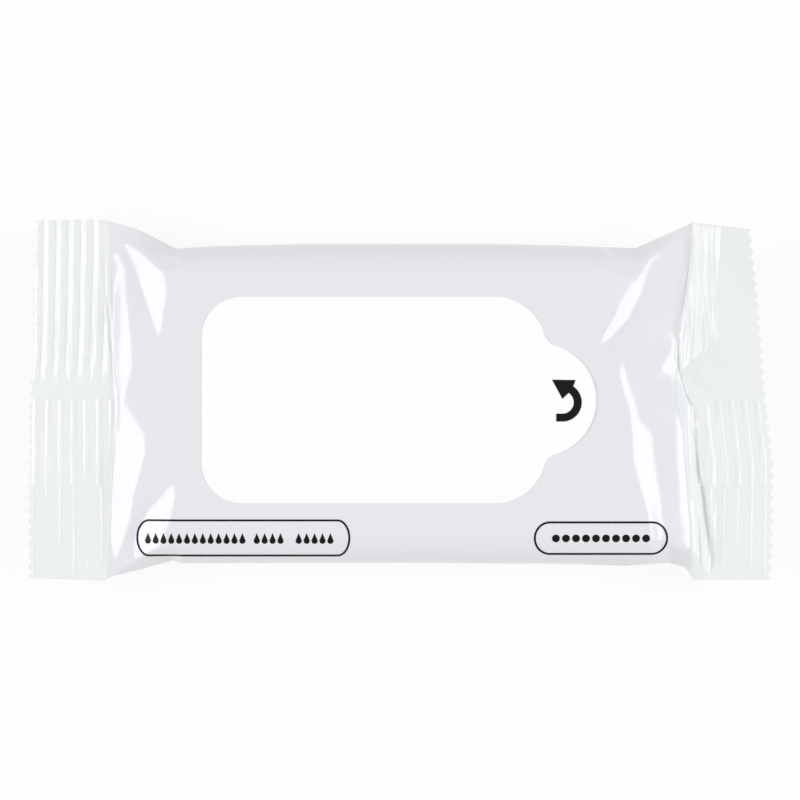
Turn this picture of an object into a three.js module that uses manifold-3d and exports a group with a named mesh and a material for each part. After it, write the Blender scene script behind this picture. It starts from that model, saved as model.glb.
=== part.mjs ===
// A pocket pack of folded wet wipes: a film flow wrap lying on its back.
//
// The wrap is one web of film made into a tube. Its two long edges meet in a fin seam along the back,
// folded flat to one side, and both ends are crimped shut and cut with a pinking knife. Film does not
// stretch, so the pack is as wide as the flat tube in its end seals, and narrower over the stack of wipes
// by what its round sides use up. Along the shoulders the side creases run out straight to the corners of
// the seals, and the spare film folds in as tucks. A white self-adhesive label with a finger tab closes
// the top.
//
// Millimetres. +X runs along the pack, +Z is up, and the origin is the middle of the footprint.

import * as THREE from "three";
import { mergeVertices } from "three/addons/utils/BufferGeometryUtils.js";
import Module from "manifold-3d";

const wasm = await Module();
wasm.setup();

// Overall sizes of the pack.
const packLength = 140; // between the tips of the two pinked edges
const tubeWidth = 67.5; // the film tube pressed flat, as it is in the end seals
const packHeight = 14; // from the table to the top panel

// Film and its seams.
const filmThickness = 0.08;
const sealThickness = 2 * filmThickness; // two webs welded together
const finThickness = 2 * filmThickness; // the seam is two webs as well, folded down on the back
const finWidth = 16;
const finRoot = 0; // the seam leaves the back panel on its centreline, and its free edge points to -Y

// The two ends, each from the stack of wipes outwards.
const packEnds = {
  left: {
    side: -1, // which way the end points
    shoulderLength: 13, // from the top panel down to the root of the crimp
    sealWidth: 15, // from there to the tips of the pinked edge
    rootSlant: 0, // how much further out the root lies at +Y than at mid width
    rootWave: 0.6, // how far the root bows towards the stack above the fin seam
    cutSlant: 1.4, // how much shorter the seal is cut at +Y than at -Y
    lift: -2.2, // how far the cut edge curls up at mid width
    twist: -1.6, // how much more it curls at +Y
  },
  right: {
    side: 1,
    shoulderLength: 9,
    sealWidth: 17.2,
    rootSlant: 1.4,
    rootWave: 0.9,
    cutSlant: 4.2,
    lift: 1.8,
    twist: 3.4,
  },
};

// Crimp and pinking knife.
const ribCount = 6;
const ribHeight = 0.5; // crest to valley of the crimp
const toothPitch = 2.2;
const toothDepth = 0.7;
const trimAllowance = 1; // film left past the knife before it is trimmed

// Shoulders, between the top panel and the seals.
const rampTopRound = 0.22; // share of the shoulder over which the film rounds off the end of the stack
const rampFootRound = 0.3; // share over which it runs out into the seal
const creaseBy = 0.8; // share at which the round side of the pack has become a sharp crease
const shoulderFlatShare = 0.25; // share of the half width that stays flat where the shoulder meets the seal
const cornerDraw = 1.1; // how far the side creases are drawn in at the corners of the stack
const earBend = 1.4; // 1 runs the side creases straight out to the seal's corners, more bends them
const tuckDepth = 1.8; // the corner tucks, where the spare film folds in beside the stack
const tuckCentre = 0.8; // their place, as a share of the half width
const tuckSpread = 0.15;

// Label on the top panel, laid out from the panel's edges.
const labelThickness = 0.12;
const labelSideMargin = 3.8; // from its long edges to where the panel starts to round off
const labelPlainMargin = 5.2; // from its plain end to the left end of the panel
const labelTabMargin = 7.4; // from the tip of its finger tab to the right end of the panel
const plainCornerRadius = 7.5;
const tabCornerRadius = 9.7; // the corners either side of the tab
const tabRadius = 10.5;
const tabReach = 9.2; // how far the tab stands out of the label's straight end
const tabBlend = 3; // the hollow fillet between corner and tab

// How finely the surfaces are divided.
const flatSteps = 4; // from the middle of a panel to where it starts to round off
const roundSteps = 7; // from there to the side crease
const finSteps = 2;
const bodyRows = 8;
const shoulderRows = 14;
const rowsPerRib = 4; // crest, valley, valley, crest
const arcSteps = 10;

const halfLength = packLength / 2;
const halfTube = tubeWidth / 2;
const quarterTurn = Math.PI / 2;
const sealLevel = (packHeight + finThickness) / 2;
const topStart = sealLevel + sealThickness / 2; // where the top web starts to rise
const backStart = sealLevel - sealThickness / 2; // where the back web starts to fall
const fullRise = packHeight - topStart; // from the side crease to the top panel
const fullFall = backStart - finThickness; // from the side crease to the back panel
// Half of the flat top, where the sides are quarter rounds of radius fullRise.
const panelFlat = halfTube - quarterTurn * fullRise;
const stackHalf = panelFlat + fullRise; // half width over the stack
const panelFlatShare = panelFlat / stackHalf;
const panelEnd = (end) => halfLength - end.sealWidth - end.shoulderLength;

const lerp = (a, b, t) => a + (b - a) * t;
const smooth = (t) => t * t * (3 - 2 * t);
const clamp01 = (t) => Math.min(1, Math.max(0, t));
const bell = (x) => Math.exp(-x * x);

// Half a section across the tube, from the side crease over the panel: flat out to flatHalf, then a curve
// down to the side. Roundness 1 gives a quarter ellipse, and 0 a parabola that ends in a sharp crease.
function panelProfile(y, half, flatHalf, roundness) {
  const s = clamp01((Math.abs(y) - flatHalf) / (half - flatHalf));
  return Math.pow(1 - s * s, 1 / (1 + roundness));
}

// A straight ramp from 1 at t = 0 down to 0 at t = 1, rounded off at its top and its foot.
function ramp(t) {
  const run = 1 - (rampTopRound + rampFootRound) / 2;
  if (t < rampTopRound) return 1 - (t * t) / (2 * rampTopRound * run);
  if (t > 1 - rampFootRound) return (1 - t) ** 2 / (2 * rampFootRound * run);
  return 1 - (t - rampTopRound / 2) / run;
}

// The section at a share of the way from the top panel (0) to the seal (1).
function shoulderSection(t) {
  const rise = fullRise * ramp(t);
  const roundness = 1 - smooth(clamp01(t / creaseBy));
  const flatShare = lerp(panelFlatShare, shoulderFlatShare, smooth(t));
  const half = lerp(halfTube, stackHalf - cornerDraw, (1 - t) ** earBend);
  const tuck = tuckDepth * Math.sin(Math.PI * t) ** 2;
  return { rise, roundness, half, flatHalf: flatShare * half, tuck };
}

// The section at a share of the way from the middle of the top panel (0) to its end (1).
function bodySection(t) {
  const half = stackHalf - cornerDraw * t * t;
  return { rise: fullRise, roundness: 1, half, flatHalf: panelFlatShare * half, tuck: 0 };
}

// How high a panel stands above the side crease.
function panelHeight(section, y) {
  const hollow = section.tuck * bell((Math.abs(y) / section.half - tuckCentre) / tuckSpread);
  const arch = section.rise * panelProfile(y, section.half, section.flatHalf, section.roundness);
  return Math.max(0, arch - hollow);
}

// Places across the tube, from the +Y side over the top to -Y, and back underneath with the fin's two edges.
function ringPlaces({ half, flatHalf }) {
  const ease = (i) => Math.sin((quarterTurn * i) / roundSteps); // closer together towards the side crease
  const across = [];
  for (let i = 0; i < flatSteps; i++) across.push((flatHalf * i) / flatSteps);
  for (let i = 0; i <= roundSteps; i++) across.push(lerp(flatHalf, half, ease(i)));
  const top = [...across].reverse().concat(across.slice(1).map((y) => -y));

  const freeEdge = finRoot - finWidth;
  const outer = [];
  const inner = [];
  for (let i = 0; i <= roundSteps; i++) {
    outer.unshift(lerp(freeEdge, -half, ease(i)));
    inner.push(lerp(finRoot, half, ease(i)));
  }
  const fin = [];
  for (let i = 0; i <= finSteps; i++) fin.push(lerp(freeEdge, finRoot, i / finSteps));
  return [
    ...top.map((y) => ({ y })),
    ...outer.map((y) => ({ y, under: true })),
    ...fin.map((y) => ({ y, under: true, fin: true })),
    ...inner.map((y) => ({ y, under: true })),
  ];
}

// Where the crimp starts and where the knife cuts, at a place across the seal.
function sealRoot(end, y) {
  const wave = end.rootWave * bell((y - finWidth / 2) / finWidth);
  return end.side * (halfLength - end.sealWidth + (end.rootSlant * y) / halfTube - wave);
}
function cutLine(end, y) {
  return end.side * (halfLength - (end.cutSlant * (y + halfTube)) / tubeWidth);
}

// A ring of points round the tube at one section. The rest of its form is a place along X for each Y.
function tubeRing(section, along) {
  return ringPlaces(section).map(({ y, under, fin }) => {
    const height = panelHeight(section, y);
    const back = backStart - (height * fullFall) / fullRise - (fin ? finThickness : 0);
    return new THREE.Vector3(along(y), y, under ? back : topStart + height);
  });
}

// One ring across an end seal, at a share of the way from its root (0) to the knife (1).
function sealRing(end, t, crest) {
  const flat = { half: halfTube, flatHalf: shoulderFlatShare * halfTube };
  return ringPlaces(flat).map(({ y, under, fin }) => {
    const curl = (end.lift + (end.twist * y) / halfTube) * t * t;
    const rib = (crest * ribHeight) / 2;
    const web = under ? backStart - (fin ? finThickness : 0) : topStart;
    return new THREE.Vector3(lerp(sealRoot(end, y), cutLine(end, y), t), y, web + curl + rib);
  });
}

// The rings of one end, from the top panel to just past the knife.
function endRings(end) {
  const rings = [];
  for (let i = 0; i <= shoulderRows; i++) {
    const t = i / shoulderRows;
    const section = shoulderSection(t);
    const start = end.side * panelEnd(end);
    rings.push(tubeRing(section, (y) => lerp(start, sealRoot(end, (y * halfTube) / section.half), t)));
  }
  const rows = ribCount * rowsPerRib;
  for (let i = 1; i <= rows; i++) {
    const crest = i % rowsPerRib < rowsPerRib / 2 ? 1 : -1;
    rings.push(sealRing(end, i / rows, crest));
  }
  rings.push(sealRing(end, 1 + trimAllowance / end.sealWidth, 1));
  return rings;
}

// Every ring from the left knife to the right one.
function wrapRings() {
  const { left, right } = packEnds;
  const body = [];
  for (let i = 1; i < bodyRows; i++) {
    const x = lerp(-panelEnd(left), panelEnd(right), i / bodyRows);
    const reach = x < 0 ? panelEnd(left) : panelEnd(right);
    body.push(tubeRing(bodySection(x / reach), () => x));
  }
  return [...endRings(left).reverse(), ...body, ...endRings(right)];
}

// Rings joined into one closed skin, with both ends capped.
function skinOver(rings) {
  const count = rings[0].length;
  const positions = rings.flat().flatMap((p) => [p.x, p.y, p.z]);
  const index = [];
  const at = (ring, i) => ring * count + (i % count);
  for (let r = 0; r < rings.length - 1; r++) {
    for (let i = 0; i < count; i++) {
      index.push(at(r, i), at(r, i + 1), at(r + 1, i));
      index.push(at(r, i + 1), at(r + 1, i + 1), at(r + 1, i));
    }
  }
  // Each cap is a fan from a point inside the thin strip.
  for (const [ring, turn] of [[0, 1], [rings.length - 1, 0]]) {
    const hub = positions.length / 3;
    const centre = rings[ring].reduce((sum, p) => sum.add(p), new THREE.Vector3()).divideScalar(count);
    positions.push(centre.x, centre.y, centre.z);
    for (let i = 0; i < count; i++) index.push(hub, at(ring, i + turn), at(ring, i + 1 - turn));
  }
  const skin = new THREE.BufferGeometry();
  skin.setAttribute("position", new THREE.Float32BufferAttribute(positions, 3));
  skin.setIndex(index);
  return skin;
}

// A closed geometry as a solid that can be cut, facing out whichever way its triangles were wound.
function solidFrom(geometry) {
  const bare = geometry.clone();
  bare.deleteAttribute("normal");
  bare.deleteAttribute("uv");
  const merged = mergeVertices(bare, 1e-4);
  const triVerts = new Uint32Array(merged.index.array);
  const vertProperties = merged.attributes.position.array;
  const solid = new wasm.Manifold(new wasm.Mesh({ numProp: 3, vertProperties, triVerts }));
  if (solid.volume() > 0) return solid;
  for (let i = 0; i < triVerts.length; i += 3) {
    [triVerts[i + 1], triVerts[i + 2]] = [triVerts[i + 2], triVerts[i + 1]];
  }
  return new wasm.Manifold(new wasm.Mesh({ numProp: 3, vertProperties, triVerts }));
}

function geometryFrom(solid) {
  const { vertProperties, triVerts } = solid.getMesh();
  const geometry = new THREE.BufferGeometry();
  geometry.setAttribute("position", new THREE.BufferAttribute(new Float32Array(vertProperties), 3));
  geometry.setIndex(new THREE.BufferAttribute(new Uint32Array(triVerts), 1));
  geometry.computeVertexNormals();
  return geometry;
}

// The waste that the pinking knife takes off one end: a comb whose points are the notches.
function knifeWaste(end) {
  const past = halfTube + toothPitch;
  const teeth = 2 * Math.ceil(past / toothPitch);
  const outside = end.side * (halfLength + 2 * trimAllowance);
  const waste = new THREE.Shape();
  for (let i = 0; i <= 2 * teeth; i++) {
    const y = lerp(-teeth, teeth, i / (2 * teeth)) * (toothPitch / 2);
    const depth = i % 2 ? toothDepth : 0;
    const x = cutLine(end, y) - end.side * depth;
    if (i === 0) waste.moveTo(x, y);
    else waste.lineTo(x, y);
  }
  const corner = teeth * (toothPitch / 2);
  waste.lineTo(outside, corner);
  waste.lineTo(outside, -corner);
  waste.closePath();
  return new THREE.ExtrudeGeometry(waste, { depth: packHeight, bevelEnabled: false });
}

function sealedPack() {
  let wrap = solidFrom(skinOver(wrapRings()));
  for (const end of Object.values(packEnds)) wrap = wrap.subtract(solidFrom(knifeWaste(end)));
  const film = new THREE.MeshStandardMaterial({ color: 0xe5e7eb, roughness: 0.22, metalness: 0 });
  const mesh = new THREE.Mesh(geometryFrom(wrap), film);
  mesh.name = "sealed_pack";
  return mesh;
}

// The label's outline: a rectangle with round corners, and a round tab that flows out of its right end.
function labelShape() {
  const top = panelFlat - labelSideMargin;
  const plainEnd = labelPlainMargin - panelEnd(packEnds.left);
  const tabTip = panelEnd(packEnds.right) - labelTabMargin;
  const corner = new THREE.Vector2(tabTip - tabReach - tabCornerRadius, top - tabCornerRadius);
  const tab = new THREE.Vector2(tabTip - tabRadius, 0);
  const between = tab.clone().sub(corner);
  const span = between.length();
  const fromCorner = tabCornerRadius + tabBlend;
  const fromTab = tabRadius + tabBlend;
  const along = (fromCorner ** 2 - fromTab ** 2 + span ** 2) / (2 * span);
  const out = Math.sqrt(fromCorner ** 2 - along ** 2);
  const way = between.divideScalar(span);
  const blend = new THREE.Vector2(
    corner.x + way.x * along - way.y * out,
    corner.y + way.y * along + way.x * out,
  );
  const cornerEnd = Math.atan2(blend.y - corner.y, blend.x - corner.x);
  const tabStart = Math.atan2(blend.y - tab.y, blend.x - tab.x);
  const halfTurn = 2 * quarterTurn;
  const plainCorner = new THREE.Vector2(plainEnd + plainCornerRadius, top - plainCornerRadius);
  const shape = new THREE.Shape();
  shape.moveTo(plainCorner.x, -top);
  shape.absarc(corner.x, -corner.y, tabCornerRadius, -quarterTurn, -cornerEnd, false);
  shape.absarc(blend.x, -blend.y, tabBlend, halfTurn - cornerEnd, halfTurn - tabStart, true);
  shape.absarc(tab.x, 0, tabRadius, -tabStart, tabStart, false);
  shape.absarc(blend.x, blend.y, tabBlend, tabStart - halfTurn, cornerEnd - halfTurn, true);
  shape.absarc(corner.x, corner.y, tabCornerRadius, cornerEnd, quarterTurn, false);
  shape.absarc(plainCorner.x, plainCorner.y, plainCornerRadius, quarterTurn, halfTurn, false);
  shape.absarc(plainCorner.x, -plainCorner.y, plainCornerRadius, -halfTurn, -quarterTurn, false);
  return shape;
}

function resealLabel() {
  const options = { depth: labelThickness, bevelEnabled: false, curveSegments: arcSteps };
  const geometry = new THREE.ExtrudeGeometry(labelShape(), options);
  const facestock = new THREE.MeshStandardMaterial({ color: 0xfdfdfd, roughness: 0.35, metalness: 0 });
  const mesh = new THREE.Mesh(geometry, facestock);
  mesh.name = "reseal_label";
  mesh.position.z = packHeight;
  return mesh;
}

const wetWipesPack = new THREE.Group();
wetWipesPack.name = "wet_wipes_pack";
wetWipesPack.add(sealedPack(), resealLabel());

export default wetWipesPack;
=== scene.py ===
"""A pocket pack of wet wipes, lying on its back and seen from straight above.

The wrap is one web of film. It is built on the film's own grid, so that it never stretches much: rows
across the tube from one pinked edge to the other, and columns that keep their place along the girth. Over
the stack of wipes the section is a flat panel with round sides. At each end the film is folded, and the
plan of the folds is a list of lines with a height at each point. The lines are joined into flat facets, the
grid is laid on them, and every fold is then rounded a little. Crimp ribs and fine wrinkles come on top. The
fin seam, the label and the printing are laid on the film. Sizes are millimetres until a mesh is made, and
metres in the materials, the lamps and the floor.
"""

import math
from dataclasses import dataclass
import bmesh
import bpy
import numpy as np
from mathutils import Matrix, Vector
from mathutils.bvhtree import BVHTree
from mathutils.geometry import delaunay_2d_cdt


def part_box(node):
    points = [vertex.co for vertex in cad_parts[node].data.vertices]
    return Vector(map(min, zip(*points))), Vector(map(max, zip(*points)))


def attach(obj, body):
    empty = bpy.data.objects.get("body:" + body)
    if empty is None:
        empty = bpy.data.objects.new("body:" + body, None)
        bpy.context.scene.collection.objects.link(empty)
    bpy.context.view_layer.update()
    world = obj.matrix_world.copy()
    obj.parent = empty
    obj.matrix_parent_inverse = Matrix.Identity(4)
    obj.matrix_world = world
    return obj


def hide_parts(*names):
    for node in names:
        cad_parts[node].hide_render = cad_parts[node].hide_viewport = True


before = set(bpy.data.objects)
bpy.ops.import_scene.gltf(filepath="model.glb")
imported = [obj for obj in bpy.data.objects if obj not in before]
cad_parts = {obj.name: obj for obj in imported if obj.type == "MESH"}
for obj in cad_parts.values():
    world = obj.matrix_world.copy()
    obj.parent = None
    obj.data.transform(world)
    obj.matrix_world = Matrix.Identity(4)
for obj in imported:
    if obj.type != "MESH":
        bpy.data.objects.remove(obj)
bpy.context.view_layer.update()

MM = 0.001
X, Y, Z = range(3)
SHARP = math.radians(55)  # edges that turn more than this stay sharp
SAME_POINT = 0.02  # points of the fold plan that lie closer than this are one
TOLERANCE = 1e-5
NO_AREA = 1e-6  # facets smaller than this are left out

pack_high = np.array(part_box("sealed_pack")[1]) / MM
label_low, label_high = (np.array(corner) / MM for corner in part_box("reseal_label"))

# The film tube and its sections.
TUBE_HALF = pack_high[Y]  # the tube pressed flat, as in the end seals
TOP = pack_high[Z]
WELD = 0.16  # two webs welded together
FIN_THICK = 0.16
FIN_WIDTH = 16.0
FLOOR_CLEAR = 0.03
BACK_LEVEL = FIN_THICK + FLOOR_CLEAR  # the back web lies on the fin
CREASE_LEVEL = (TOP + FIN_THICK) / 2
RISE = TOP - CREASE_LEVEL
PANEL_FLAT = TUBE_HALF - math.pi / 2 * RISE
BODY_HALF = PANEL_FLAT + RISE
SEAL_HALF = 33.6  # half the width of the end seals
SIDE_TURNS = np.radians([20.0, 40.0, 60.0, 78.0])  # where the facets have corners round the body's side
SHOULDER_FADE = 3.0  # how far past the body's end the facets take to replace its section
MIDDLE_EASE = (0.2, 1.0)  # the part of the shoulder where the crease goes down to the seal's level
CREASE_END = 33.0  # how far out at the root the side creases end
CREASE_CLEAR = 0.3

# Grid of the film.
TEETH = 31
COLUMNS = 6 * TEETH + 1  # six to a tooth
BACK_STEP = 3  # the back web has one column for so many of the top's
SEAL_ROWS = 108
SHOULDER_ROWS = 44
BODY_ROWS = 20
TOOTH_ROWS = 6  # rows next to the knife that take up the teeth
TOOTH_BAND = 1.1  # how far from the edge these rows reach
TOOTH_DEPTH = 0.7
FOLD_ROUND = 0.95  # how far a fold is rounded off, in grid steps

# The crimp ribs.
# How the far ribs' heights wander: by what share, and by how many radians a rib and a millimetre across.
RIB_WAVES = ((0.10, 2.3, 0.31), (0.06, 4.1, -0.83))
FAR_FADE_IN = 3.0  # how far the far ribs take to reach their height, away from the knife
FAR_FADE_ACROSS = 7.0  # and away from the fin
FIN_RIB_PLACES = (0.0, 0.45, 0.8, 1.1)  # foot, the two ends of the flat top, and the inner edge
FIN_RIB_REACH = 0.3  # how far across the pack they reach past the fin's root
NEAR_RIB_HEIGHT = 0.14
NEAR_RIB_HALF = 0.22
ZONE_SOFT = 0.2
KNIFE_FADE = (0.3, 1.1)  # distances from the knife between which the ribs rise
ROOT_FADE = (0.2, 1.0)  # distances from the root

# The fin seam on the back.
FIN_ROWS = 300
FIN_COLUMNS = 81
FIN_BAND = (-FIN_WIDTH + 1.2, -4.0)  # its own ribbed weld, as places across the pack
FIN_BAND_SHARE = 0.7  # how much of the weld's look it has: its puckers, and its paler colour with the painted sheen in it
FIN_PITCH = 1.2
FIN_RIB = 0.07
FIN_INSET = 0.05
FIN_SUNK = 0.02

# The label on the top panel.
LABEL_THICK = 0.12
LABEL_SUNK = 0.01
LABEL_BEVEL = 0.035
LABEL_EDGE_STEP = 0.8
LABEL_GRID = 1.6
PLAIN_CORNER = 7.5
TAB_CORNER = 9.7  # the corners either side of the tab
TAB_RADIUS = 10.5
TAB_REACH = 9.2
TAB_BLEND = 3.0
TAB_LIFT = 0.10

# The print. Frames are given by their low and high corner.
PRINT_SUNK = 0.02
PRINT_THICK = 0.045
PRINT_GRID = 0.25
FRAME_STEP = 0.2
NAME_FRAME = ((-49.11, -29.11), (-9.23, -22.17))
NAME_END_DEPTH = 2.35
NAME_LINE = 0.36
DROP_GROUPS = ((-46.9, 13), (-26.6, 4), (-18.8, 5))  # where each group starts and its count
DROP_PITCH = 1.47
DROP_ROW = -25.72
DROP_WIDTH = 1.12
DROP_HEIGHT = 2.0
COUNT_FRAME = ((24.84, -28.81), (49.86, -22.53))
COUNT_END_DEPTH = 3.0
COUNT_LINE = 0.37
WIPES = 10
DOT_START = (28.95, -25.7)
DOT_PITCH = 1.86
DOT_RADIUS = 0.72
DOT_POINTS = 24
ARROW_CENTRE = (30.15, -0.43)
ARROW_OUTER = 3.58
ARROW_INNER = 2.1
ARROW_TAIL = 28.99  # the x of its end
ARROW_INNER_TURN = 57  # angles at which the shaft meets the head
ARROW_OUTER_TURN = 56
ARROW_HEAD = ((32.59, 3.71), (28.21, 3.77), (30.13, 0.21))  # from the outer side over the point
ARROW_EDGE_STEP = 0.5
ARROW_GRID = 0.6

# Linear colours, light and the view.
FILM_COLOR = (0.785, 0.795, 0.82)
# Where welded the film is paler: partly its own tone, partly painted sheen standing in for the crimp's tiny
# highlights.
WELD_AND_SHEEN_COLOR = (0.842, 0.862, 0.870)
LABEL_COLORS = ((0.975, 0.975, 0.975), (0.99, 0.99, 0.99))
INK_COLORS = ((0.003, 0.003, 0.004), (0.006, 0.006, 0.007))
PAPER_COLOR = (0.95, 0.95, 0.95)
PAPER_GLOW = 0.85  # how much of the paper that the camera sees is plain white
SKY_LIGHT = 0.62  # of the white surroundings that camera and mirror rays see
SOFTBOX_PLACE = (0.9, 0.0, 0.52)  # the right one's; the left one mirrors it
SOFTBOX_SIZE = (0.8, 0.32)
SOFTBOX_POWER = 4.6
FLOOR_REACH = 3.0
FLOOR_DROP = 0.02  # millimetres below the pack
LENS = 300
SENSOR = 36
VIEW_WIDTH = 149.3  # millimetres across the whole picture

# The pack's outline in plan: the side creases, as distances from the middle line.
FAR_SIDE = [
    (-68.4, 33.6), (-56.4, 33.7), (-53.8, 33.3), (-49.0, 31.9), (-44.2, 29.5), (-41.8, 28.3), (-33.6, 28.8),
    (-15.0, 29.2), (15.0, 29.2), (30.0, 28.9), (43.9, 28.3), (49.0, 30.6), (53.7, 32.7), (54.6, 33.1),
    (65.3, 31.7),
]
NEAR_SIDE = [
    (-69.5, 33.3), (-55.2, 33.7), (-53.8, 32.9), (-48.0, 31.5), (-42.5, 29.9), (-40.6, 30.5), (0.0, 30.4),
    (30.0, 30.6), (41.8, 30.9), (50.3, 30.4), (53.2, 31.2), (54.8, 33.6), (69.5, 33.6),
]


@dataclass
class Crimp:
    """The ribs of an end seal. Each zone has its pitch and, as a share of it, the place of its ribs."""

    far: tuple  # also the share of the pitch that rises inwards, and the height
    far_edge: tuple  # how far from the knife the far ribs reach their height, and the y where they begin
    fin: tuple  # also how far each rib rises on its outer and falls on its inner flank
    near: tuple


@dataclass
class PackEnd:
    """One end of the pack. Its lines are (x, y, z) points, and those across it start at the far side."""

    side: int
    start: float  # where the folded end begins
    corners: tuple  # where the far and the near side crease leave the body
    knife: list
    root: list  # the line where the seal begins
    folds: dict
    levels: list  # single points between the folds
    crimp: Crimp
    wrinkles: list  # lines of (height, width, points)


LEFT = PackEnd(
    side=-1,
    start=-38.0,
    corners=(-40.8, -40.6),
    knife=[
        (-68.4, 33.6, 5.2), (-68.7, 9.0, 6.6), (-69.3, 0.0, 7.2), (-69.5, -16.0, 6.9), (-69.5, -33.6, 6.5),
    ],
    root=[
        (-54.7, 33.6, 7.3), (-54.7, 33.0, 7.3), (-54.3, 27.0, 7.3), (-53.9, 16.0, 8.7),
        (-53.5, 9.0, 9.7), (-53.1, 3.0, 10.1), (-52.9, -2.0, 10.1), (-53.3, -9.0, 9.5),
        (-53.9, -16.0, 8.6), (-54.3, -25.0, 7.6), (-54.8, -33.0, 7.3), (-54.8, -33.6, 7.3),
    ],
    folds={
        "far ear": [
            (-40.8, 24.3, 13.5), (-44.2, 24.1, 12.5), (-47.6, 27.3, 10.0), (-51.9, 29.9, 7.9),
            (-54.7, 33.0, 7.3),
        ],
        "far tuck": [
            (-44.7, 11.0, 13.7), (-45.9, 14.4, 12.6), (-47.2, 18.3, 11.4), (-49.0, 23.5, 9.7),
            (-51.6, 28.9, 7.9), (-54.7, 33.0, 7.3),
        ],
        "panel edge": [
            (-44.2, 24.1, 12.5), (-43.5, 21.5, 13.1), (-43.6, 17.0, 13.6), (-44.1, 12.8, 13.8),
            (-44.7, 11.0, 13.7), (-44.6, 6.0, 13.8), (-44.9, -3.0, 13.7), (-43.8, -10.0, 13.7),
            (-42.4, -15.1, 13.4),
        ],
        "knee": [
            (-52.2, 27.2, 8.3), (-51.2, 24.6, 8.9), (-50.9, 18.0, 10.4), (-50.2, 12.0, 11.8),
            (-49.9, 6.0, 12.0), (-51.2, 1.8, 11.4), (-52.2, -0.4, 10.95),
        ],
        "foot": [
            (-52.9, 27.2, 7.9), (-52.5, 24.6, 8.2), (-52.4, 18.0, 9.5), (-52.4, 12.0, 10.5),
            (-52.3, 6.0, 10.6), (-52.3, 1.8, 10.7), (-52.2, -0.4, 10.95),
        ],
        "near knee": [
            (-52.2, -0.4, 10.95), (-49.7, -3.0, 12.0), (-47.3, -6.5, 12.9), (-47.1, -9.5, 13.0),
            (-48.2, -13.0, 12.3), (-49.2, -16.5, 11.4), (-50.1, -22.4, 10.2), (-51.4, -26.3, 9.2),
            (-53.1, -28.6, 8.0),
        ],
        "near foot": [
            (-52.2, -0.4, 10.95), (-52.4, -7.3, 10.2), (-53.0, -11.6, 9.5), (-53.1, -16.5, 9.1),
            (-53.3, -22.4, 8.4), (-53.3, -28.6, 7.9),
        ],
        "near tuck": [(-42.4, -15.1, 13.4), (-47.1, -20.7, 10.9), (-49.3, -24.6, 9.8), (-54.0, -32.4, 7.3)],
        "near ear": [
            (-42.4, -15.1, 13.4), (-41.3, -17.0, 13.9), (-42.6, -22.4, 13.6), (-45.0, -27.8, 12.0),
            (-49.3, -30.2, 9.2), (-54.0, -32.4, 7.3),
        ],
    },
    levels=[(-42.4, 26.8, 10.9), (-61.5, 34.0, 6.4), (-61.5, 0.0, 8.7), (-62.0, -34.0, 7.1)],
    crimp=Crimp(
        far=(2.36, 0.79, 0.45, 0.44),
        far_edge=(0.0, 1.0),
        fin=(2.43, 0.30, 0.16, 0.26),
        near=(2.6, 0.885),
    ),
    wrinkles=[
        (0.16, 0.30, [(-54.9, 31.0), (-54.6, 24.0), (-53.8, 15.0), (-52.9, 9.0)]),
        (0.14, 0.26, [(-56.2, 29.5), (-55.6, 22.0), (-54.4, 14.0), (-53.2, 9.5)]),
    ],
)

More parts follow.
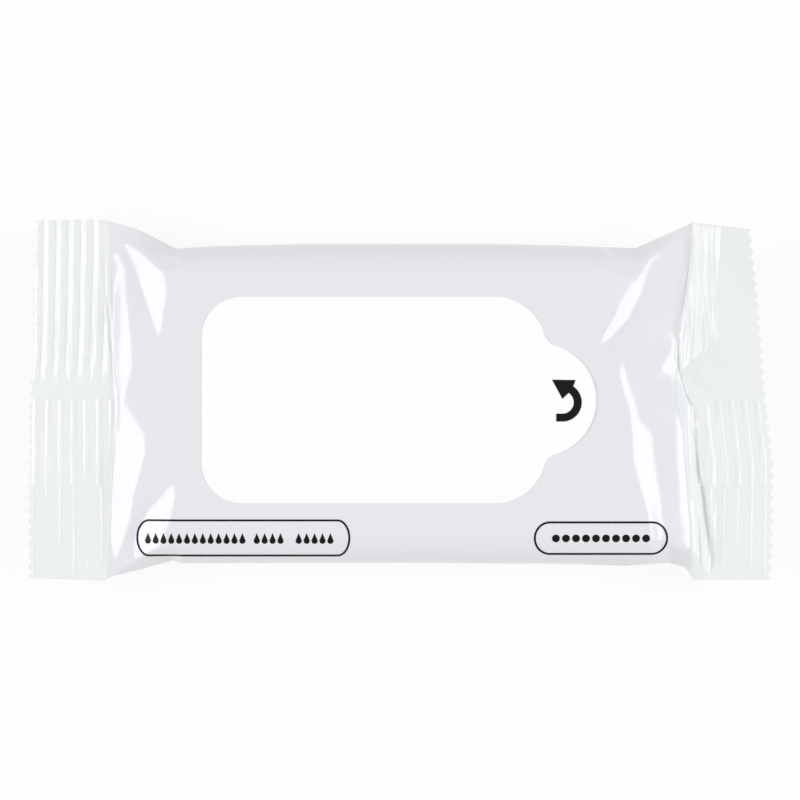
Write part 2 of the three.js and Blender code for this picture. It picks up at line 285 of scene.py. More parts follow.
RIGHT = PackEnd(
    side=1,
    start=34.0,
    corners=(38.0, 46.5),
    knife=[
        (65.2, 33.6, 13.7), (66.8, 18.3, 13.0), (67.5, 10.0, 11.6), (68.0, 3.0, 9.5),
        (68.8, -4.0, 8.0), (69.8, -12.1, 7.2), (69.5, -33.6, 6.4),
    ],
    root=[
        (54.7, 33.6, 8.1), (54.6, 33.0, 8.1), (54.3, 28.0, 8.2), (53.7, 24.3, 8.2), (52.9, 18.7, 8.15),
        (51.9, 12.5, 8.3), (51.7, 10.0, 8.3), (51.8, 5.0, 8.9), (51.9, 0.0, 9.7), (52.6, -4.0, 9.4),
        (53.2, -7.0, 9.05), (53.3, -11.2, 9.15), (53.9, -18.7, 9.6), (54.4, -24.0, 9.8),
        (54.6, -28.0, 9.6), (54.4, -33.0, 7.4), (54.4, -33.6, 7.1),
    ],
    folds={
        "dent edge": [
            (36.2, 9.3, 13.95), (39.9, 15.9, 12.95), (43.4, 22.1, 11.9), (46.1, 26.3, 11.0),
            (50.5, 29.2, 8.75), (54.6, 33.0, 8.1),
        ],
        "dent floor": [
            (36.2, 9.3, 13.95), (40.0, 12.3, 12.2), (42.6, 14.9, 11.25), (44.7, 19.3, 10.8),
            (46.1, 23.9, 10.7), (46.8, 25.8, 10.5), (50.5, 29.2, 8.75),
        ],
        "dent valley": [(36.2, 9.3, 13.95), (41.3, 8.3, 12.7), (44.5, 7.7, 11.7), (48.7, 6.1, 10.45)],
        "dent bulge": [(44.7, 19.3, 10.8), (45.9, 14.2, 10.6), (48.3, 13.6, 9.65), (51.35, 10.2, 8.95)],
        "far brow": [(51.35, 10.2, 8.95), (51.5, 11.6, 8.6), (51.9, 12.5, 8.3)],
        "bright spot": [
            (51.35, 10.2, 8.95), (48.7, 6.1, 10.45), (50.4, 4.85, 9.6), (51.45, 5.1, 8.95),
            (51.35, 10.2, 8.95),
        ],
        "near panel edge": [
            (38.0, 7.6, 13.8), (40.8, 3.8, 13.7), (41.9, -0.5, 13.7), (42.8, -1.8, 13.5),
            (42.8, -6.3, 13.8), (43.0, -11.6, 13.9), (46.1, -22.6, 13.8), (48.1, -26.1, 12.4),
        ],
        "soft spot": [(40.8, 3.8, 13.7), (41.9, 3.4, 13.0), (43.9, -3.2, 12.9), (42.8, -1.8, 13.5)],
        "near ridge": [(41.9, 3.4, 13.0), (45.5, 3.0, 11.6), (50.4, 4.85, 9.6)],
        "strip": [
            (43.9, -3.2, 12.9), (47.2, -7.1, 11.4), (47.0, -8.9, 11.5), (48.1, -16.4, 11.7),
            (48.5, -22.6, 12.2), (48.1, -26.1, 12.4),
        ],
        "near foot": [
            (51.9, 0.0, 9.7), (51.5, -4.0, 10.0), (51.5, -7.0, 10.0), (51.6, -11.2, 10.1),
            (52.2, -18.7, 10.6), (52.8, -24.0, 10.6), (53.4, -28.0, 10.3),
        ],
        "near brow": [(48.1, -26.1, 12.4), (50.8, -26.9, 11.35), (53.4, -28.0, 10.3)],
        "near ear": [(48.1, -26.1, 12.4), (51.0, -29.0, 8.7), (53.0, -30.4, 7.9), (54.4, -33.0, 7.4)],
    },
    levels=[
        (41.0, 26.4, 11.2), (43.7, 24.8, 11.3), (43.9, 26.8, 10.0), (45.4, 28.0, 9.0),
        (60.0, 34.0, 11.5), (59.4, 26.0, 11.4), (59.3, 19.0, 12.0), (59.1, 11.2, 12.4), (55.0, 7.6, 10.5),
        (61.0, 6.0, 10.6), (58.5, 0.0, 9.3), (59.0, -4.0, 8.6), (59.0, -10.0, 8.2), (59.0, -20.0, 8.0),
        (59.0, -34.0, 6.9),
    ],
    crimp=Crimp(
        far=(2.0, 0.4, 0.84, 0.11),
        far_edge=(9.0, 4.0),
        fin=(2.42, 0.53, 0.18, 0.24),
        near=(2.6, 0.13),
    ),
    wrinkles=[
        (-0.35, 0.30, [(51.7, 8.5), (52.3, 4.5), (53.4, 1.0), (54.7, -1.8), (55.1, -6.0)]),
        (-1.15, 0.80, [
            (54.3, -0.5), (54.7, -1.8), (55.2, -7.7), (55.6, -13.5), (56.4, -18.4), (56.9, -23.3),
            (57.6, -28.2), (57.9, -33.5),
        ]),
        (-0.50, 0.40, [(55.0, -14.0), (55.3, -18.7), (55.6, -26.1), (56.0, -32.5)]),
        (-0.26, 0.42, [(54.5, 31.0), (54.1, 26.0), (53.3, 20.0), (52.2, 14.0)]),
        (0.12, 0.25, [(49.9, 19.8), (50.3, 18.7), (50.4, 17.6)]),
    ],
)


def lerp(a, b, t):
    return a + (b - a) * t


def smoothstep(low, high, x):
    t = np.clip((x - low) / (high - low), 0.0, 1.0)
    return t * t * (3 - 2 * t)


def zone(low, high, x):
    """One between low and high, and nothing outside, with soft borders."""
    rise = smoothstep(low - ZONE_SOFT, low + ZONE_SOFT, x)
    return rise * (1 - smoothstep(high - ZONE_SOFT, high + ZONE_SOFT, x))


def along(line, x):
    """The value at x of a line given as (x, value) pairs."""
    xs, values = zip(*line)
    return np.interp(x, xs, values)


def across(line, y, part=X):
    """The x, or the z where part says so, at y of a line of points that is listed from the far side."""
    return np.interp(y, [point[Y] for point in line[::-1]], [point[part] for point in line[::-1]])


def body_angle(girth):
    """How far round the round side a place along the girth lies."""
    return np.clip((np.abs(girth) - PANEL_FLAT) / RISE, 0.0, math.pi / 2)


def body_place(girth):
    """Where a place along the girth lies across the body, as a share of the half width."""
    flat = np.minimum(np.abs(girth), PANEL_FLAT)
    return np.sign(girth) * (flat + RISE * np.sin(body_angle(girth))) / BODY_HALF


class FoldPlan:
    """Numbered points and the fold lines between them, which never cross."""

    def __init__(self):
        self.points = []
        self.edges = []

    def number(self, point):
        for i, known in enumerate(self.points):
            if abs(known[X] - point[X]) < SAME_POINT and abs(known[Y] - point[Y]) < SAME_POINT:
                return i
        self.points.append(point)
        return len(self.points) - 1

    def draw(self, line):
        numbers = [self.number(point) for point in line]
        self.edges.extend(zip(numbers, numbers[1:]))

    def triangles(self):
        """The plan as flat triangles, each an array of three (x, y, z) corners."""
        places = [Vector(point[:2]) for point in self.points]
        found, _, faces, origin, _, _ = delaunay_2d_cdt(places, self.edges, [], 0, TOLERANCE)
        height = [np.mean([self.points[i][Z] for i in numbers]) for numbers in origin]
        return np.array([[(*found[i], height[i]) for i in face] for face in faces])


def side_section(x, share):
    """The body's round side at x, where its half width is this share of the full one."""
    return [(x, PANEL_FLAT * share, TOP)] + [
        (x, (PANEL_FLAT + RISE * np.sin(turn)) * share, CREASE_LEVEL + RISE * np.cos(turn))
        for turn in SIDE_TURNS
    ]


def side_crease(end, sign, outline, corner):
    """The side crease from the body's corner down to the root of the seal."""
    root_x = across(end.root, CREASE_END * sign)
    level = across(end.root, CREASE_END * sign, Z) - WELD / 2
    crease = [(corner, sign * along(outline, corner), CREASE_LEVEL)]
    for x, half in outline[::end.side]:
        if end.side * corner < end.side * x < end.side * root_x - CREASE_CLEAR:
            t = (x - corner) / (root_x - corner)
            crease.append((x, sign * half, lerp(CREASE_LEVEL, level, t)))
    return crease


def facets(end):
    """The folded end as flat triangles."""
    plan = FoldPlan()
    for line in (*end.folds.values(), end.root, end.knife):
        plan.draw(line)
    for point in end.levels:
        plan.number(point)
    for sign, outline, corner in ((1, FAR_SIDE, end.corners[0]), (-1, NEAR_SIDE, end.corners[1])):
        for x in (end.start, corner):
            plan.draw(side_section(x, along(outline, x) / BODY_HALF * sign))
        plan.draw(side_crease(end, sign, outline, corner))
    plan.number((end.start, 0.0, TOP))
    return plan.triangles()


def drape(corners, x, y):
    """Heights of the facets at every x, y, from the shares of their corners there.

    Outside the facets the nearest one is carried on.
    """
    height = np.zeros(x.shape)
    best = np.full(x.shape, -np.inf)
    for a, b, c in corners:
        area = (b[X] - a[X]) * (c[Y] - a[Y]) - (c[X] - a[X]) * (b[Y] - a[Y])
        if abs(area) < NO_AREA:
            continue
        v = ((x - a[X]) * (c[Y] - a[Y]) - (c[X] - a[X]) * (y - a[Y])) / area
        w = ((b[X] - a[X]) * (y - a[Y]) - (x - a[X]) * (b[Y] - a[Y])) / area
        inside = np.minimum(np.minimum(v, w), 1 - v - w)
        better = inside > best
        best = np.where(better, inside, best)
        height = np.where(better, a[Z] + v * (b[Z] - a[Z]) + w * (c[Z] - a[Z]), height)
    return height


def rounded(height, reach):
    """Heights on the grid with the folds rounded off. The film turns under at the side creases."""
    steps = int(math.ceil(3 * reach))
    kernel = np.exp(-0.5 * (np.arange(-steps, steps + 1) / reach) ** 2)
    kernel /= kernel.sum()
    rows, columns = height.shape
    far = 2 * height[:, :1] - height[:, 1:steps + 1][:, ::-1]
    near = 2 * height[:, -1:] - height[:, -steps - 1:-1][:, ::-1]
    wide = np.hstack([far, height, near])
    smooth = sum(k * wide[:, i:i + columns] for i, k in enumerate(kernel))
    tall = np.vstack([np.repeat(smooth[:1], steps, 0), smooth, np.repeat(smooth[-1:], steps, 0)])
    return sum(k * tall[i:i + rows] for i, k in enumerate(kernel))


def end_rows(end, girth):
    """The x of one end's rows, from the body outwards to the pinked edge."""
    place = girth / TUBE_HALF * SEAL_HALF
    root = across(end.root, place)
    knife = across(end.knife, place)
    tooth = np.abs(2 * np.mod(girth / (2 * TUBE_HALF) * TEETH, 1.0) - 1) * TOOTH_DEPTH
    band = knife - end.side * TOOTH_BAND
    shoulder = np.linspace(0, 1, SHOULDER_ROWS, endpoint=False)[:, None]
    seal = np.linspace(0, 1, SEAL_ROWS - TOOTH_ROWS, endpoint=False)[:, None]
    last = np.linspace(0, 1, TOOTH_ROWS)[:, None]
    return np.vstack([
        lerp(end.start, root, shoulder),
        lerp(root, band, seal),
        lerp(band, knife - end.side * tooth, last),
    ])


def from_knife(end, x, y, base):
    """Distance from the knife's line, along the film, or straight in the rows that take up the teeth.

    The rows come from the body outwards.
    """
    straight = np.abs(across(end.knife, y) - x)
    step = np.hypot(np.diff(x[::-1], axis=0), np.diff(base[::-1], axis=0))
    inwards = np.vstack([np.zeros((1, x.shape[1])), np.cumsum(step, axis=0)])[::-1]
    last = -TOOTH_ROWS - 1
    inwards += straight[last] - inwards[last]
    return np.where(np.arange(len(x))[:, None] > len(x) + last, straight, inwards)


def far_ribs(end, distance, y):
    """Wide ribs, a little uneven, that die out towards the fin."""
    pitch, shift, share, height = end.crimp.far
    phase = np.mod(distance / pitch - shift, 1.0)
    number = np.floor(distance / pitch - shift)
    uneven = 1 + sum(part * np.sin(a_rib * number + a_mm * y) for part, a_rib, a_mm in RIB_WAVES)
    ribs = height * uneven * np.where(phase < share, phase / share, (1 - phase) / (1 - share))
    full_distance, first_y = end.crimp.far_edge
    inner = smoothstep(full_distance - FAR_FADE_IN, full_distance, distance)
    return ribs * (inner * smoothstep(first_y, first_y + FAR_FADE_ACROSS, y))


def fin_ribs(end, distance, y):
    """Tight ribs with flat tops where the seal holds the fin too."""
    pitch, shift, rise, fall = end.crimp.fin
    place = pitch * np.mod(distance / pitch - shift, 1.0)
    ribs = np.interp(place, [*FIN_RIB_PLACES, pitch], [0.0, rise, rise, rise - fall, 0.0])
    return ribs * zone(-FIN_WIDTH, FIN_RIB_REACH, y)


def near_ribs(end, distance, y):
    """Thin ridges, each in the middle of its pitch."""
    pitch, shift = end.crimp.near
    place = pitch * (np.mod(distance / pitch - shift, 1.0) - 0.5)
    ribs = NEAR_RIB_HEIGHT * np.exp(-(place / NEAR_RIB_HALF) ** 2)
    return ribs * (1 - smoothstep(-FIN_WIDTH - ZONE_SOFT, -FIN_WIDTH + ZONE_SOFT, y))


def crimp(end, x, y, base):
    """Heights of the crimp, which dies out at the knife and at the root."""
    distance = from_knife(end, x, y, base)
    ribs = far_ribs(end, distance, y) + fin_ribs(end, distance, y) + near_ribs(end, distance, y)
    return ribs * (smoothstep(*KNIFE_FADE, distance) * smoothstep(*ROOT_FADE, distance[:1] - distance))


def nearest_place(line, x, y):
    """How far every x, y is from a line in plan, and how far along the line, as a share, that is."""
    lengths = [math.dist(a, b) for a, b in zip(line, line[1:])]
    gap = np.full(x.shape, np.inf)
    place = np.zeros_like(x)
    for i, (a, b) in enumerate(zip(line, line[1:])):
        way = ((x - a[X]) * (b[X] - a[X]) + (y - a[Y]) * (b[Y] - a[Y])) / lengths[i] ** 2
        way = np.clip(way, 0, 1)
        off = np.hypot(x - lerp(a[X], b[X], way), y - lerp(a[Y], b[Y], way))
        place = np.where(off < gap, (sum(lengths[:i]) + way * lengths[i]) / sum(lengths), place)
        gap = np.minimum(off, gap)
    return gap, np.clip(place, 0, 1)


def wrinkles(end, x, y):
    """Heights of the fine wrinkles: ridges, or creases where negative, that run out at both ends."""
    total = np.zeros_like(x)
    for height, width, line in end.wrinkles:
        gap, place = nearest_place(line, x, y)
        total += height * np.exp(-(gap / width) ** 2) * np.sqrt(np.sin(math.pi * place))
    return total


def film_grid():
    """The film in plan: places along the girth, and x and y on the grid from end to end."""
    girth = np.linspace(TUBE_HALF, -TUBE_HALF, COLUMNS)
    body = np.linspace(LEFT.start, RIGHT.start, BODY_ROWS + 2)[1:-1, None] * np.ones((1, COLUMNS))
    x = np.vstack([end_rows(LEFT, girth)[::-1], body, end_rows(RIGHT, girth)])
    flatness = np.zeros_like(x)
    for end in (LEFT, RIGHT):
        root = across(end.root, girth / TUBE_HALF * SEAL_HALF)
        corner = np.where(girth > 0, *end.corners)
        flatness += smoothstep(0, 1, (x - corner) / (root - corner))
    place = lerp(body_place(girth), girth / TUBE_HALF, flatness)
    y = place * np.where(place > 0, along(FAR_SIDE, x), along(NEAR_SIDE, x))
    return girth, x, y


def folded_heights(girth, x, y):
    """Heights of the top web with its folds, before ribs and wrinkles."""
    heights = CREASE_LEVEL + RISE * np.cos(body_angle(girth)) + np.zeros_like(x)
    for end in (LEFT, RIGHT):
        share = smoothstep(0, SHOULDER_FADE, end.side * (x - end.start))
        heights = lerp(heights, drape(facets(end), x, y), share)
    return rounded(heights, FOLD_ROUND)


def end_part(end, grid):
    """The rows of one end, from the body outwards. What is written to them is written to the grid."""
    outwards = grid[::end.side]
    return outwards[-SEAL_ROWS - SHOULDER_ROWS:]


def film_surfaces():
    """Plan places, the heights of the top and the back web, and where they are welded together."""
    girth, x, y = film_grid()
    base = folded_heights(girth, x, y)
    middle = np.full_like(x, CREASE_LEVEL)
    welded = np.zeros_like(x)
    detail = np.zeros_like(x)
    ease = smoothstep(*MIDDLE_EASE, np.linspace(0, 1, SHOULDER_ROWS))[:, None]
    seal = slice(SHOULDER_ROWS, None)
    for end in (LEFT, RIGHT):
        end_x, end_y, end_base = (end_part(end, grid) for grid in (x, y, base))
        end_middle, end_welded, end_detail = (end_part(end, grid) for grid in (middle, welded, detail))
        end_middle[seal] = end_base[seal] - WELD / 2
        end_middle[:SHOULDER_ROWS] = lerp(CREASE_LEVEL, end_middle[SHOULDER_ROWS], ease)
        end_welded[seal] = 1
        end_detail[seal] = crimp(end, end_x[seal], end_y[seal], end_base[seal])
        end_detail += wrinkles(end, end_x, end_y)
    bulge = np.maximum(base - middle, WELD / 2)
    bulge[:, [0, -1]] = 0
    back = middle - bulge[:, ::-1] * (CREASE_LEVEL - BACK_LEVEL) / RISE
    return x, y, middle + bulge + detail, back + detail * welded, welded


def in_scene(name, data):
    """A new object in the scene."""
    item = bpy.data.objects.new(name, data)
    bpy.context.scene.collection.objects.link(item)
    return item


def closed_piece(name, points, faces, welded=None, bevel=0.0):
    """A piece from points in millimetres, with its faces pointing out and smooth between sharp edges."""
    mesh = bpy.data.meshes.new(name)
    mesh.from_pydata((np.array(points) * MM).tolist(), [], faces)
    if welded is not None:
        mesh.attributes.new("welded", "FLOAT", "POINT").data.foreach_set("value", welded)
    work = bmesh.new()
    work.from_mesh(mesh)
    bmesh.ops.recalc_face_normals(work, faces=work.faces)
    if bevel:
        rim = [edge for edge in work.edges if edge.calc_face_angle() > SHARP]
        bmesh.ops.bevel(work, geom=rim, offset=bevel * MM, segments=2, profile=0.5, affect="EDGES")
    work.to_mesh(mesh)
    work.free()
    mesh.shade_smooth()
    mesh.set_sharp_from_angle(angle=SHARP)
    return in_scene(name, mesh)


def wrap_piece():
    """The two webs as one closed mesh, joined at the side creases and at the knife cuts."""
    x, y, top, back, welded = film_surfaces()
    rows, columns = x.shape
    upper = np.stack([x, y, top, welded], -1)
    lower = np.stack([x, y, back, welded], -1)[:, BACK_STEP:-BACK_STEP:BACK_STEP][:, ::-1]
    ring = np.concatenate([upper, lower], axis=1)
    count = ring.shape[1]
    index = np.arange(rows * count).reshape(rows, count)
    following = np.roll(index, -1, axis=1)
    faces = np.stack([index[:-1], following[:-1], following[1:], index[1:]], -1).reshape(-1, 4).tolist()
    for row in (0, rows - 1):  # the knife cuts, where the top web has more columns than the back
        front = index[row, :columns].tolist()
        rear = [front[0], *index[row, columns:][::-1].tolist(), front[-1]]
        for i, (a, b) in enumerate(zip(rear, rear[1:])):
            face = front[i * BACK_STEP:(i + 1) * BACK_STEP + 1] + [b, a]
            faces.append(list(dict.fromkeys(face)))
    return closed_piece("film_wrap", ring[..., :3].reshape(-1, 3), faces, ring[..., 3].ravel())


class Ground:
    """The upper or the under side of a piece, to lay something on."""

    def __init__(self, piece, under=False):
        mesh = piece.data
        self.tree = BVHTree.FromPolygons([v.co for v in mesh.vertices], [p.vertices for p in mesh.polygons])
        self.way = Vector((0, 0, 1 if under else -1))

    def level(self, x, y):
        """The height at x, y, found by a ray from a metre away."""
        start = Vector((x * MM, y * MM, 0)) - self.way
        return self.tree.ray_cast(start, self.way)[0].z / MM


def slab_faces(rows, columns):
    """The faces of a slab between two grids of points, one listed after the other."""
    count = rows * columns
    index = np.arange(count).reshape(rows, columns)
    quads = np.stack([index[:-1, :-1], index[:-1, 1:], index[1:, 1:], index[1:, :-1]], -1).reshape(-1, 4)
    faces = [*quads.tolist(), *(quads + count)[:, ::-1].tolist()]
    rim = [*index[0, :], *index[1:, -1], *index[-1, -2::-1], *index[-2:0:-1, 0]]
    for a, b in zip(rim, rim[1:] + rim[:1]):
        faces.append([int(b), int(a), int(a) + count, int(b) + count])
    return faces


def fin_piece(wrap):
    """The fin seam: the two edges of the web welded face to face, folded over and pressed on the back."""
    ground = Ground(wrap, under=True)
    y = np.linspace(0.0, -FIN_WIDTH, FIN_COLUMNS)[None, :] + np.zeros((FIN_ROWS, 1))
    left, right = (across(end.knife, y) - end.side * (TOOTH_DEPTH + FIN_INSET) for end in (LEFT, RIGHT))
    x = lerp(left, right, np.linspace(0, 1, FIN_ROWS)[:, None])
    level = np.array([[ground.level(a, b) for a, b in zip(*line)] for line in zip(x, y)])
    band = zone(*FIN_BAND, y)
    outer = level - FIN_THICK + FIN_RIB * band * (0.5 + 0.5 * np.cos(2 * math.pi * y / FIN_PITCH))
    in_end_seal = (x > across(RIGHT.root, y)) | (x < across(LEFT.root, y))
    welded = np.where(in_end_seal, 1.0, FIN_BAND_SHARE * band).ravel()
    sides = [np.stack([x, y, side], -1).reshape(-1, 3) for side in (outer, level + FIN_SUNK)]
    faces = slab_faces(FIN_ROWS, FIN_COLUMNS)
    return closed_piece("fin_seam", np.concatenate(sides), faces, np.tile(welded, 2))


def arc(centre, radius, start, end, steps=16):
    """Points on an arc between two angles in degrees."""
    turns = np.radians(np.linspace(start, end, steps))
    return [(centre[X] + radius * math.cos(a), centre[Y] + radius * math.sin(a)) for a in turns]


def divided(outline, spacing):
    """The closed outline with points added, so that none are further apart than the spacing."""
    points = []
    for a, b in zip(outline, outline[1:] + outline[:1]):
        steps = max(1, math.ceil(math.dist(a, b) / spacing))
        points.extend((lerp(a[X], b[X], i / steps), lerp(a[Y], b[Y], i / steps)) for i in range(steps))
    return points


def encloses(border, x, y):
    """Whether a place is inside: a line from it to +X then crosses the border an odd number of times."""
    following = np.roll(border, -1, axis=0)
    crosses = (border[:, Y] > y) != (following[:, Y] > y)
    rise = np.where(crosses, following[:, Y] - border[:, Y], 1)
    edge_x = border[:, X] + (y - border[:, Y]) * (following[:, X] - border[:, X]) / rise
    return np.count_nonzero(crosses & (edge_x > x)) % 2 == 1


def filled(outline, spacing):
    """Triangles inside an outline, with a grid of points inside it: places, faces and the rim's edges."""
    border = np.array(outline)
    low, high = border.min(0), border.max(0)
    places = [Vector(place) for place in outline]
    for x in np.arange(low[X] + spacing / 2, high[X], spacing):
        for y in np.arange(low[Y] + spacing / 2, high[Y], spacing):
            clear = np.hypot(border[:, X] - x, border[:, Y] - y).min() > spacing / 2
            if clear and encloses(border, x, y):
                places.append(Vector((x, y)))
    found, _, faces, _, _, _ = delaunay_2d_cdt(places, [], [list(range(len(outline)))], 1, TOLERANCE)
    edges = {}
    for face in faces:
        for a, b in zip(face, face[1:] + face[:1]):
            edges.setdefault(frozenset((a, b)), []).append((a, b))
    rim = [users[0] for users in edges.values() if len(users) == 1]
    return [tuple(place) for place in found], faces, rim


class Sheet:
    """Collects thin flat shapes that follow a ground into one closed mesh."""

    def __init__(self, ground, below, above):
        self.ground = ground
        self.below = below
        self.above = above
        self.points = []
        self.faces = []

    def lay(self, places, faces, rim, lift=None):
        """Add a shape with its upper side, its under side and the walls along its rim."""
        first, count = len(self.points), len(places)
        levels = [self.ground.level(x, y) + (lift(x) if lift else 0.0) for x, y in places]
        for offset in (self.above, -self.below):
            self.points.extend((x, y, level + offset) for (x, y), level in zip(places, levels))
        for face in faces:
            self.faces.append([first + i for i in face])
            self.faces.append([first + count + i for i in reversed(face)])
        for a, b in rim:
            self.faces.append([first + b, first + a, first + count + a, first + count + b])

    def shape(self, outline, spacing, lift=None):
        self.lay(*filled(outline, spacing), lift=lift)

    def band(self, outline, width):
        """A line of this width along the inside of a closed outline."""
        border = np.array(outline)
        way = np.roll(border, -1, axis=0) - np.roll(border, 1, axis=0)
        way /= np.hypot(way[:, X], way[:, Y])[:, None]
        inner = border + np.stack([-way[:, Y], way[:, X]], -1) * width
        count = len(border)
        places = [tuple(place) for place in np.vstack([border, (border + inner) / 2, inner])]
        faces, rim = [], []
        for i in range(count):
            j = (i + 1) % count
            faces.append([i, j, count + j, count + i])
            faces.append([count + i, count + j, 2 * count + j, 2 * count + i])
            rim.extend([(i, j), (2 * count + j, 2 * count + i)])
        self.lay(places, faces, rim)

    def piece(self, name, bevel=0.0):
        return closed_piece(name, self.points, self.faces, bevel=bevel)


def label_outline():
    """The label's outline: rounded corners, and a round finger tab blended into the straight end."""
    half = label_high[Y]
    corner = (label_high[X] - TAB_REACH - TAB_CORNER, half - TAB_CORNER)
    tab = label_high[X] - TAB_RADIUS
    # The blend is a circle that touches those of the corner and the tab from outside.
    span = math.dist(corner, (tab, 0))
    to_corner = TAB_CORNER + TAB_BLEND
    to_tab = TAB_RADIUS + TAB_BLEND
    way = ((tab - corner[X]) / span, -corner[Y] / span)
    share = (to_corner ** 2 - to_tab ** 2 + span ** 2) / (2 * span)
    off = math.sqrt(to_corner ** 2 - share ** 2)
    blend = (corner[X] + way[X] * share - way[Y] * off, corner[Y] + way[Y] * share + way[X] * off)
    lean = math.degrees(math.atan2(blend[Y] - corner[Y], blend[X] - corner[X]))
    start = math.degrees(math.atan2(blend[Y], blend[X] - tab))
    plain = (label_low[X] + PLAIN_CORNER, half - PLAIN_CORNER)
    return [
        *arc(corner, TAB_CORNER, lean, 90, steps=14),
        *arc(plain, PLAIN_CORNER, 90, 180),
        *arc((plain[X], -plain[Y]), PLAIN_CORNER, 180, 270),
        *arc((corner[X], -corner[Y]), TAB_CORNER, 270, 360 - lean, steps=14),
        *arc((blend[X], -blend[Y]), TAB_BLEND, 180 - lean, 180 - start, steps=8)[1:-1],
        *arc((tab, 0), TAB_RADIUS, -start, start, steps=40),
        *arc(blend, TAB_BLEND, 180 + start, 180 + lean, steps=8)[1:-1],
    ]


def tab_lift(x):
    """How far the label stands off the film. Its tab is left free of glue."""
    return TAB_LIFT * float(smoothstep(label_high[X] - TAB_REACH, label_high[X], x))


def label_piece(ground):
    """The self-adhesive label."""
    sheet = Sheet(ground, LABEL_SUNK, LABEL_THICK)
    sheet.shape(divided(label_outline(), LABEL_EDGE_STEP), LABEL_GRID, tab_lift)
    return sheet.piece("label", LABEL_BEVEL)


def arrow_print(ground):
    """A bent arrow that shows how the tab is pulled: a straight tail, a half round shaft and a head."""
    outer_corner, point, inner_corner = ARROW_HEAD
    outline = [
        point,
        inner_corner,
        *arc(ARROW_CENTRE, ARROW_INNER, ARROW_INNER_TURN, -90, steps=14),
        (ARROW_TAIL, ARROW_CENTRE[Y] - ARROW_INNER),
        (ARROW_TAIL, ARROW_CENTRE[Y] - ARROW_OUTER),
        *arc(ARROW_CENTRE, ARROW_OUTER, -90, ARROW_OUTER_TURN, steps=20),
        outer_corner,
    ]
    sheet = Sheet(ground, PRINT_SUNK, PRINT_THICK)
    sheet.shape(divided(outline, ARROW_EDGE_STEP), ARROW_GRID)
    return sheet.piece("arrow_print")


def capsule(low, high, end_depth):
    """A long rounded frame. Its ends are half ellipses of this depth."""
    half = (high[Y] - low[Y]) / 2
    middle = (high[Y] + low[Y]) / 2
    points = []
    for x, start in ((high[X] - end_depth, -90), (low[X] + end_depth, 90)):
        turn = arc((0, 0), 1, start, start + 180, steps=25)
        points.extend((x + end_depth * a, middle + half * b) for a, b in turn)
    return divided(points, FRAME_STEP)


def droplet(x, y, width, height):
    """A drop with its point up."""
    radius = width / 2
    centre = (x, y - height / 2 + radius)
    lean = math.degrees(math.acos(radius / (height - radius)))
    return [(x, y + height / 2), *arc(centre, radius, 90 + lean, 450 - lean, steps=15)]


def name_print(ground):
    """The long frame. Drops in groups stand in for its words."""
    sheet = Sheet(ground, PRINT_SUNK, PRINT_THICK)
    sheet.band(capsule(*NAME_FRAME, NAME_END_DEPTH), NAME_LINE)
    for start, count in DROP_GROUPS:
        for i in range(count):
            sheet.shape(droplet(start + DROP_PITCH * i, DROP_ROW, DROP_WIDTH, DROP_HEIGHT), PRINT_GRID)
    return sheet.piece("name_print")


def count_print(ground):
    """The short frame. It holds one dot for each of the wipes."""
    sheet = Sheet(ground, PRINT_SUNK, PRINT_THICK)
    sheet.band(capsule(*COUNT_FRAME, COUNT_END_DEPTH), COUNT_LINE)
    for i in range(WIPES):
        centre = (DOT_START[X] + DOT_PITCH * i, DOT_START[Y])
        sheet.shape(arc(centre, DOT_RADIUS, 0, 360, DOT_POINTS + 1)[:-1], PRINT_GRID)
    return sheet.piece("count_print")


class Nodes:
    """The nodes of a material or of the world, and short ways to add to them."""

    def __init__(self, owner):
        owner.use_nodes = True
        self.nodes = owner.node_tree.nodes
        self.links = owner.node_tree.links

    def worked_out(self, operation, *values):
        """The result of a sum. Each value is a number or what another node gives."""
        node = self.nodes.new("ShaderNodeMath")
        node.operation = operation
        for value, socket in zip(values, node.inputs):
            if isinstance(value, float):
                socket.default_value = value
            else:
                self.links.new(value, socket)
        return node.outputs[0]

    def seen_directly(self):
        """One for rays from the camera, from glossy surfaces and through glass."""
        ray = self.nodes.new("ShaderNodeLightPath").outputs
        seen = self.worked_out("MAXIMUM", ray["Is Camera Ray"], ray["Is Glossy Ray"])
        return self.worked_out("MAXIMUM", seen, ray["Is Transmission Ray"])


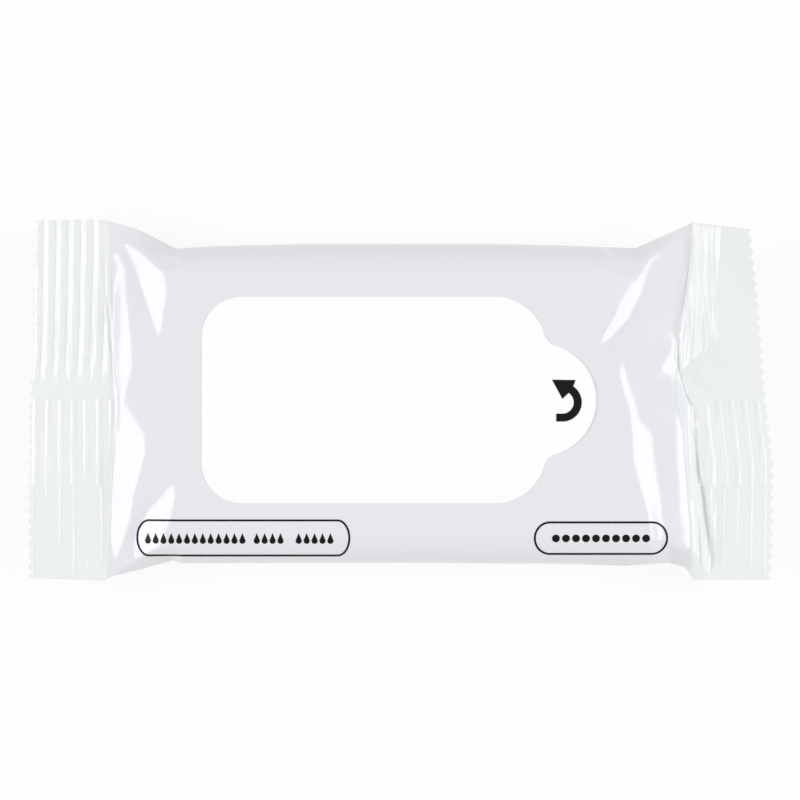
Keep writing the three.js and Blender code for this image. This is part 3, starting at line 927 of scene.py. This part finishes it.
class Material(Nodes):
    """A node material with its shader. The roughness is its mean one, which nodes may then vary."""

    def __init__(self, name, roughness, specular):
        self.material = bpy.data.materials.new(name)
        super().__init__(self.material)
        self.shader = self.nodes["Principled BSDF"]
        self.shader.inputs["Roughness"].default_value = roughness
        self.shader.inputs["Specular IOR Level"].default_value = specular

    def noise(self, scale, stretch=(1, 1, 1), detail=3.0):
        """Noise of so many waves to a metre. A stretch below one draws it out along that axis."""
        places = self.nodes.new("ShaderNodeTexCoord")
        mapping = self.nodes.new("ShaderNodeMapping")
        mapping.inputs["Scale"].default_value = stretch
        self.links.new(places.outputs["Object"], mapping.inputs["Vector"])
        noise = self.nodes.new("ShaderNodeTexNoise")
        noise.inputs["Scale"].default_value = scale
        noise.inputs["Detail"].default_value = detail
        self.links.new(mapping.outputs["Vector"], noise.inputs["Vector"])
        return noise.outputs["Fac"]

    def ranged(self, share, low, high):
        node = self.nodes.new("ShaderNodeMapRange")
        node.inputs["To Min"].default_value = low
        node.inputs["To Max"].default_value = high
        self.links.new(share, node.inputs["Value"])
        return node.outputs["Result"]

    def mixed(self, share, first, second):
        node = self.nodes.new("ShaderNodeMix")
        node.data_type = "RGBA"
        node.inputs["A"].default_value = (*first, 1)
        node.inputs["B"].default_value = (*second, 1)
        self.links.new(share, node.inputs["Factor"])
        return node.outputs["Result"]

    def bump(self, height, distance, under=None):
        node = self.nodes.new("ShaderNodeBump")
        node.inputs["Strength"].default_value = 1.0
        node.inputs["Distance"].default_value = distance
        self.links.new(height, node.inputs["Height"])
        if under is not None:
            self.links.new(under, node.inputs["Normal"])
        return node.outputs["Normal"]

    def connect(self, value, socket):
        self.links.new(value, self.shader.inputs[socket])


def film_material():
    """Glossy pale film. It is finely puckered where the crimp has welded it, and paler there: partly the
    welded film's own tone, partly painted sheen for the crimp's tiny highlights.
    """
    film = Material("film", roughness=0.16, specular=0.4)
    attribute = film.nodes.new("ShaderNodeAttribute")
    attribute.attribute_name = "welded"
    welded = attribute.outputs["Fac"]
    # Paler where welded: the welded film's own tone, with painted sheen for the crimp's tiny highlights.
    film.connect(film.mixed(welded, FILM_COLOR, WELD_AND_SHEEN_COLOR), "Base Color")
    film.connect(film.ranged(film.noise(900, detail=4), low=0.13, high=0.22), "Roughness")
    skin = film.bump(film.noise(1500), distance=0.000004)
    puckers = film.worked_out("MULTIPLY", film.noise(1300, stretch=(1, 0.035, 1)), welded)
    film.connect(film.bump(puckers, distance=0.00013, under=skin), "Normal")
    return film.material


def label_material():
    """White satin label film with a faint tooth."""
    label = Material("label", roughness=0.36, specular=0.4)
    label.connect(label.mixed(label.noise(60), *LABEL_COLORS), "Base Color")
    label.connect(label.ranged(label.noise(1200), low=0.32, high=0.4), "Roughness")
    label.connect(label.bump(label.noise(3000), distance=0.000006), "Normal")
    return label.material


def ink_material():
    """Black printing ink, a little uneven in its gloss."""
    ink = Material("print", roughness=0.4, specular=0.12)
    ink.connect(ink.mixed(ink.noise(400), *INK_COLORS), "Base Color")
    ink.connect(ink.ranged(ink.noise(2000), low=0.34, high=0.48), "Roughness")
    ink.connect(ink.bump(ink.noise(4000), distance=0.000004), "Normal")
    return ink.material


def paper_material():
    """Pale paper that the camera sees as nearly plain white, with the pack's shadow on it."""
    paper = Material("paper", roughness=0.9, specular=0.5)
    paper.shader.inputs["Base Color"].default_value = (*PAPER_COLOR, 1)
    glow = paper.nodes.new("ShaderNodeEmission")
    glow.inputs["Strength"].default_value = 1.0
    mix = paper.nodes.new("ShaderNodeMixShader")
    paper.links.new(paper.worked_out("MULTIPLY", paper.seen_directly(), PAPER_GLOW), mix.inputs["Fac"])
    paper.links.new(paper.shader.outputs["BSDF"], mix.inputs[1])
    paper.links.new(glow.outputs["Emission"], mix.inputs[2])
    paper.links.new(mix.outputs["Shader"], paper.nodes["Material Output"].inputs["Surface"])
    return paper.material


def floor():
    """The sheet of paper that the pack lies on."""
    mesh = bpy.data.meshes.new("floor")
    corners = [(FLOOR_REACH * a, FLOOR_REACH * b, 0) for a, b in ((-1, -1), (1, -1), (1, 1), (-1, 1))]
    mesh.from_pydata(corners, [], [(0, 1, 2, 3)])
    mesh.materials.append(paper_material())
    item = in_scene("floor", mesh)
    item.location.z = -FLOOR_DROP * MM


def sky():
    """Pale surroundings: white where the camera or a reflection sees them, and softer as a light."""
    world = bpy.data.worlds.new("world")
    bpy.context.scene.world = world
    tree = Nodes(world)
    background = tree.nodes["Background"]
    background.inputs["Color"].default_value = (1, 1, 1, 1)
    strength = tree.worked_out("MULTIPLY_ADD", tree.seen_directly(), 1 - SKY_LIGHT, SKY_LIGHT)
    tree.links.new(strength, background.inputs["Strength"])


def softbox(name, place):
    """An area lamp that faces the pack. Its first size runs level and the second up its slope."""
    data = bpy.data.lights.new(name, "AREA")
    data.shape = "RECTANGLE"
    data.size, data.size_y = SOFTBOX_SIZE
    data.energy = SOFTBOX_POWER
    lamp = in_scene(name, data)
    lamp.location = place
    lamp.rotation_euler = Vector(place).to_track_quat("Z", "Y").to_euler()


def camera():
    """Straight above, with the photograph's framing."""
    data = bpy.data.cameras.new("camera")
    data.lens = LENS
    data.sensor_width = SENSOR
    view = in_scene("camera", data)
    view.location = (0, 0, (VIEW_WIDTH * LENS / SENSOR + CREASE_LEVEL) * MM)
    bpy.context.scene.camera = view


def place_piece(piece, material):
    piece.data.materials.append(material)
    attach(piece, "root")


film = film_material()
ink = ink_material()
wrap = wrap_piece()
place_piece(wrap, film)
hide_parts("sealed_pack")
place_piece(fin_piece(wrap), film)

film_ground = Ground(wrap)
label = label_piece(film_ground)
place_piece(label, label_material())
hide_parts("reseal_label")

place_piece(arrow_print(Ground(label)), ink)
place_piece(name_print(film_ground), ink)
place_piece(count_print(film_ground), ink)

bpy.context.scene.view_settings.view_transform = "Standard"
sky()
floor()
softbox("left_softbox", (-SOFTBOX_PLACE[X], SOFTBOX_PLACE[Y], SOFTBOX_PLACE[Z]))
softbox("right_softbox", SOFTBOX_PLACE)
camera()
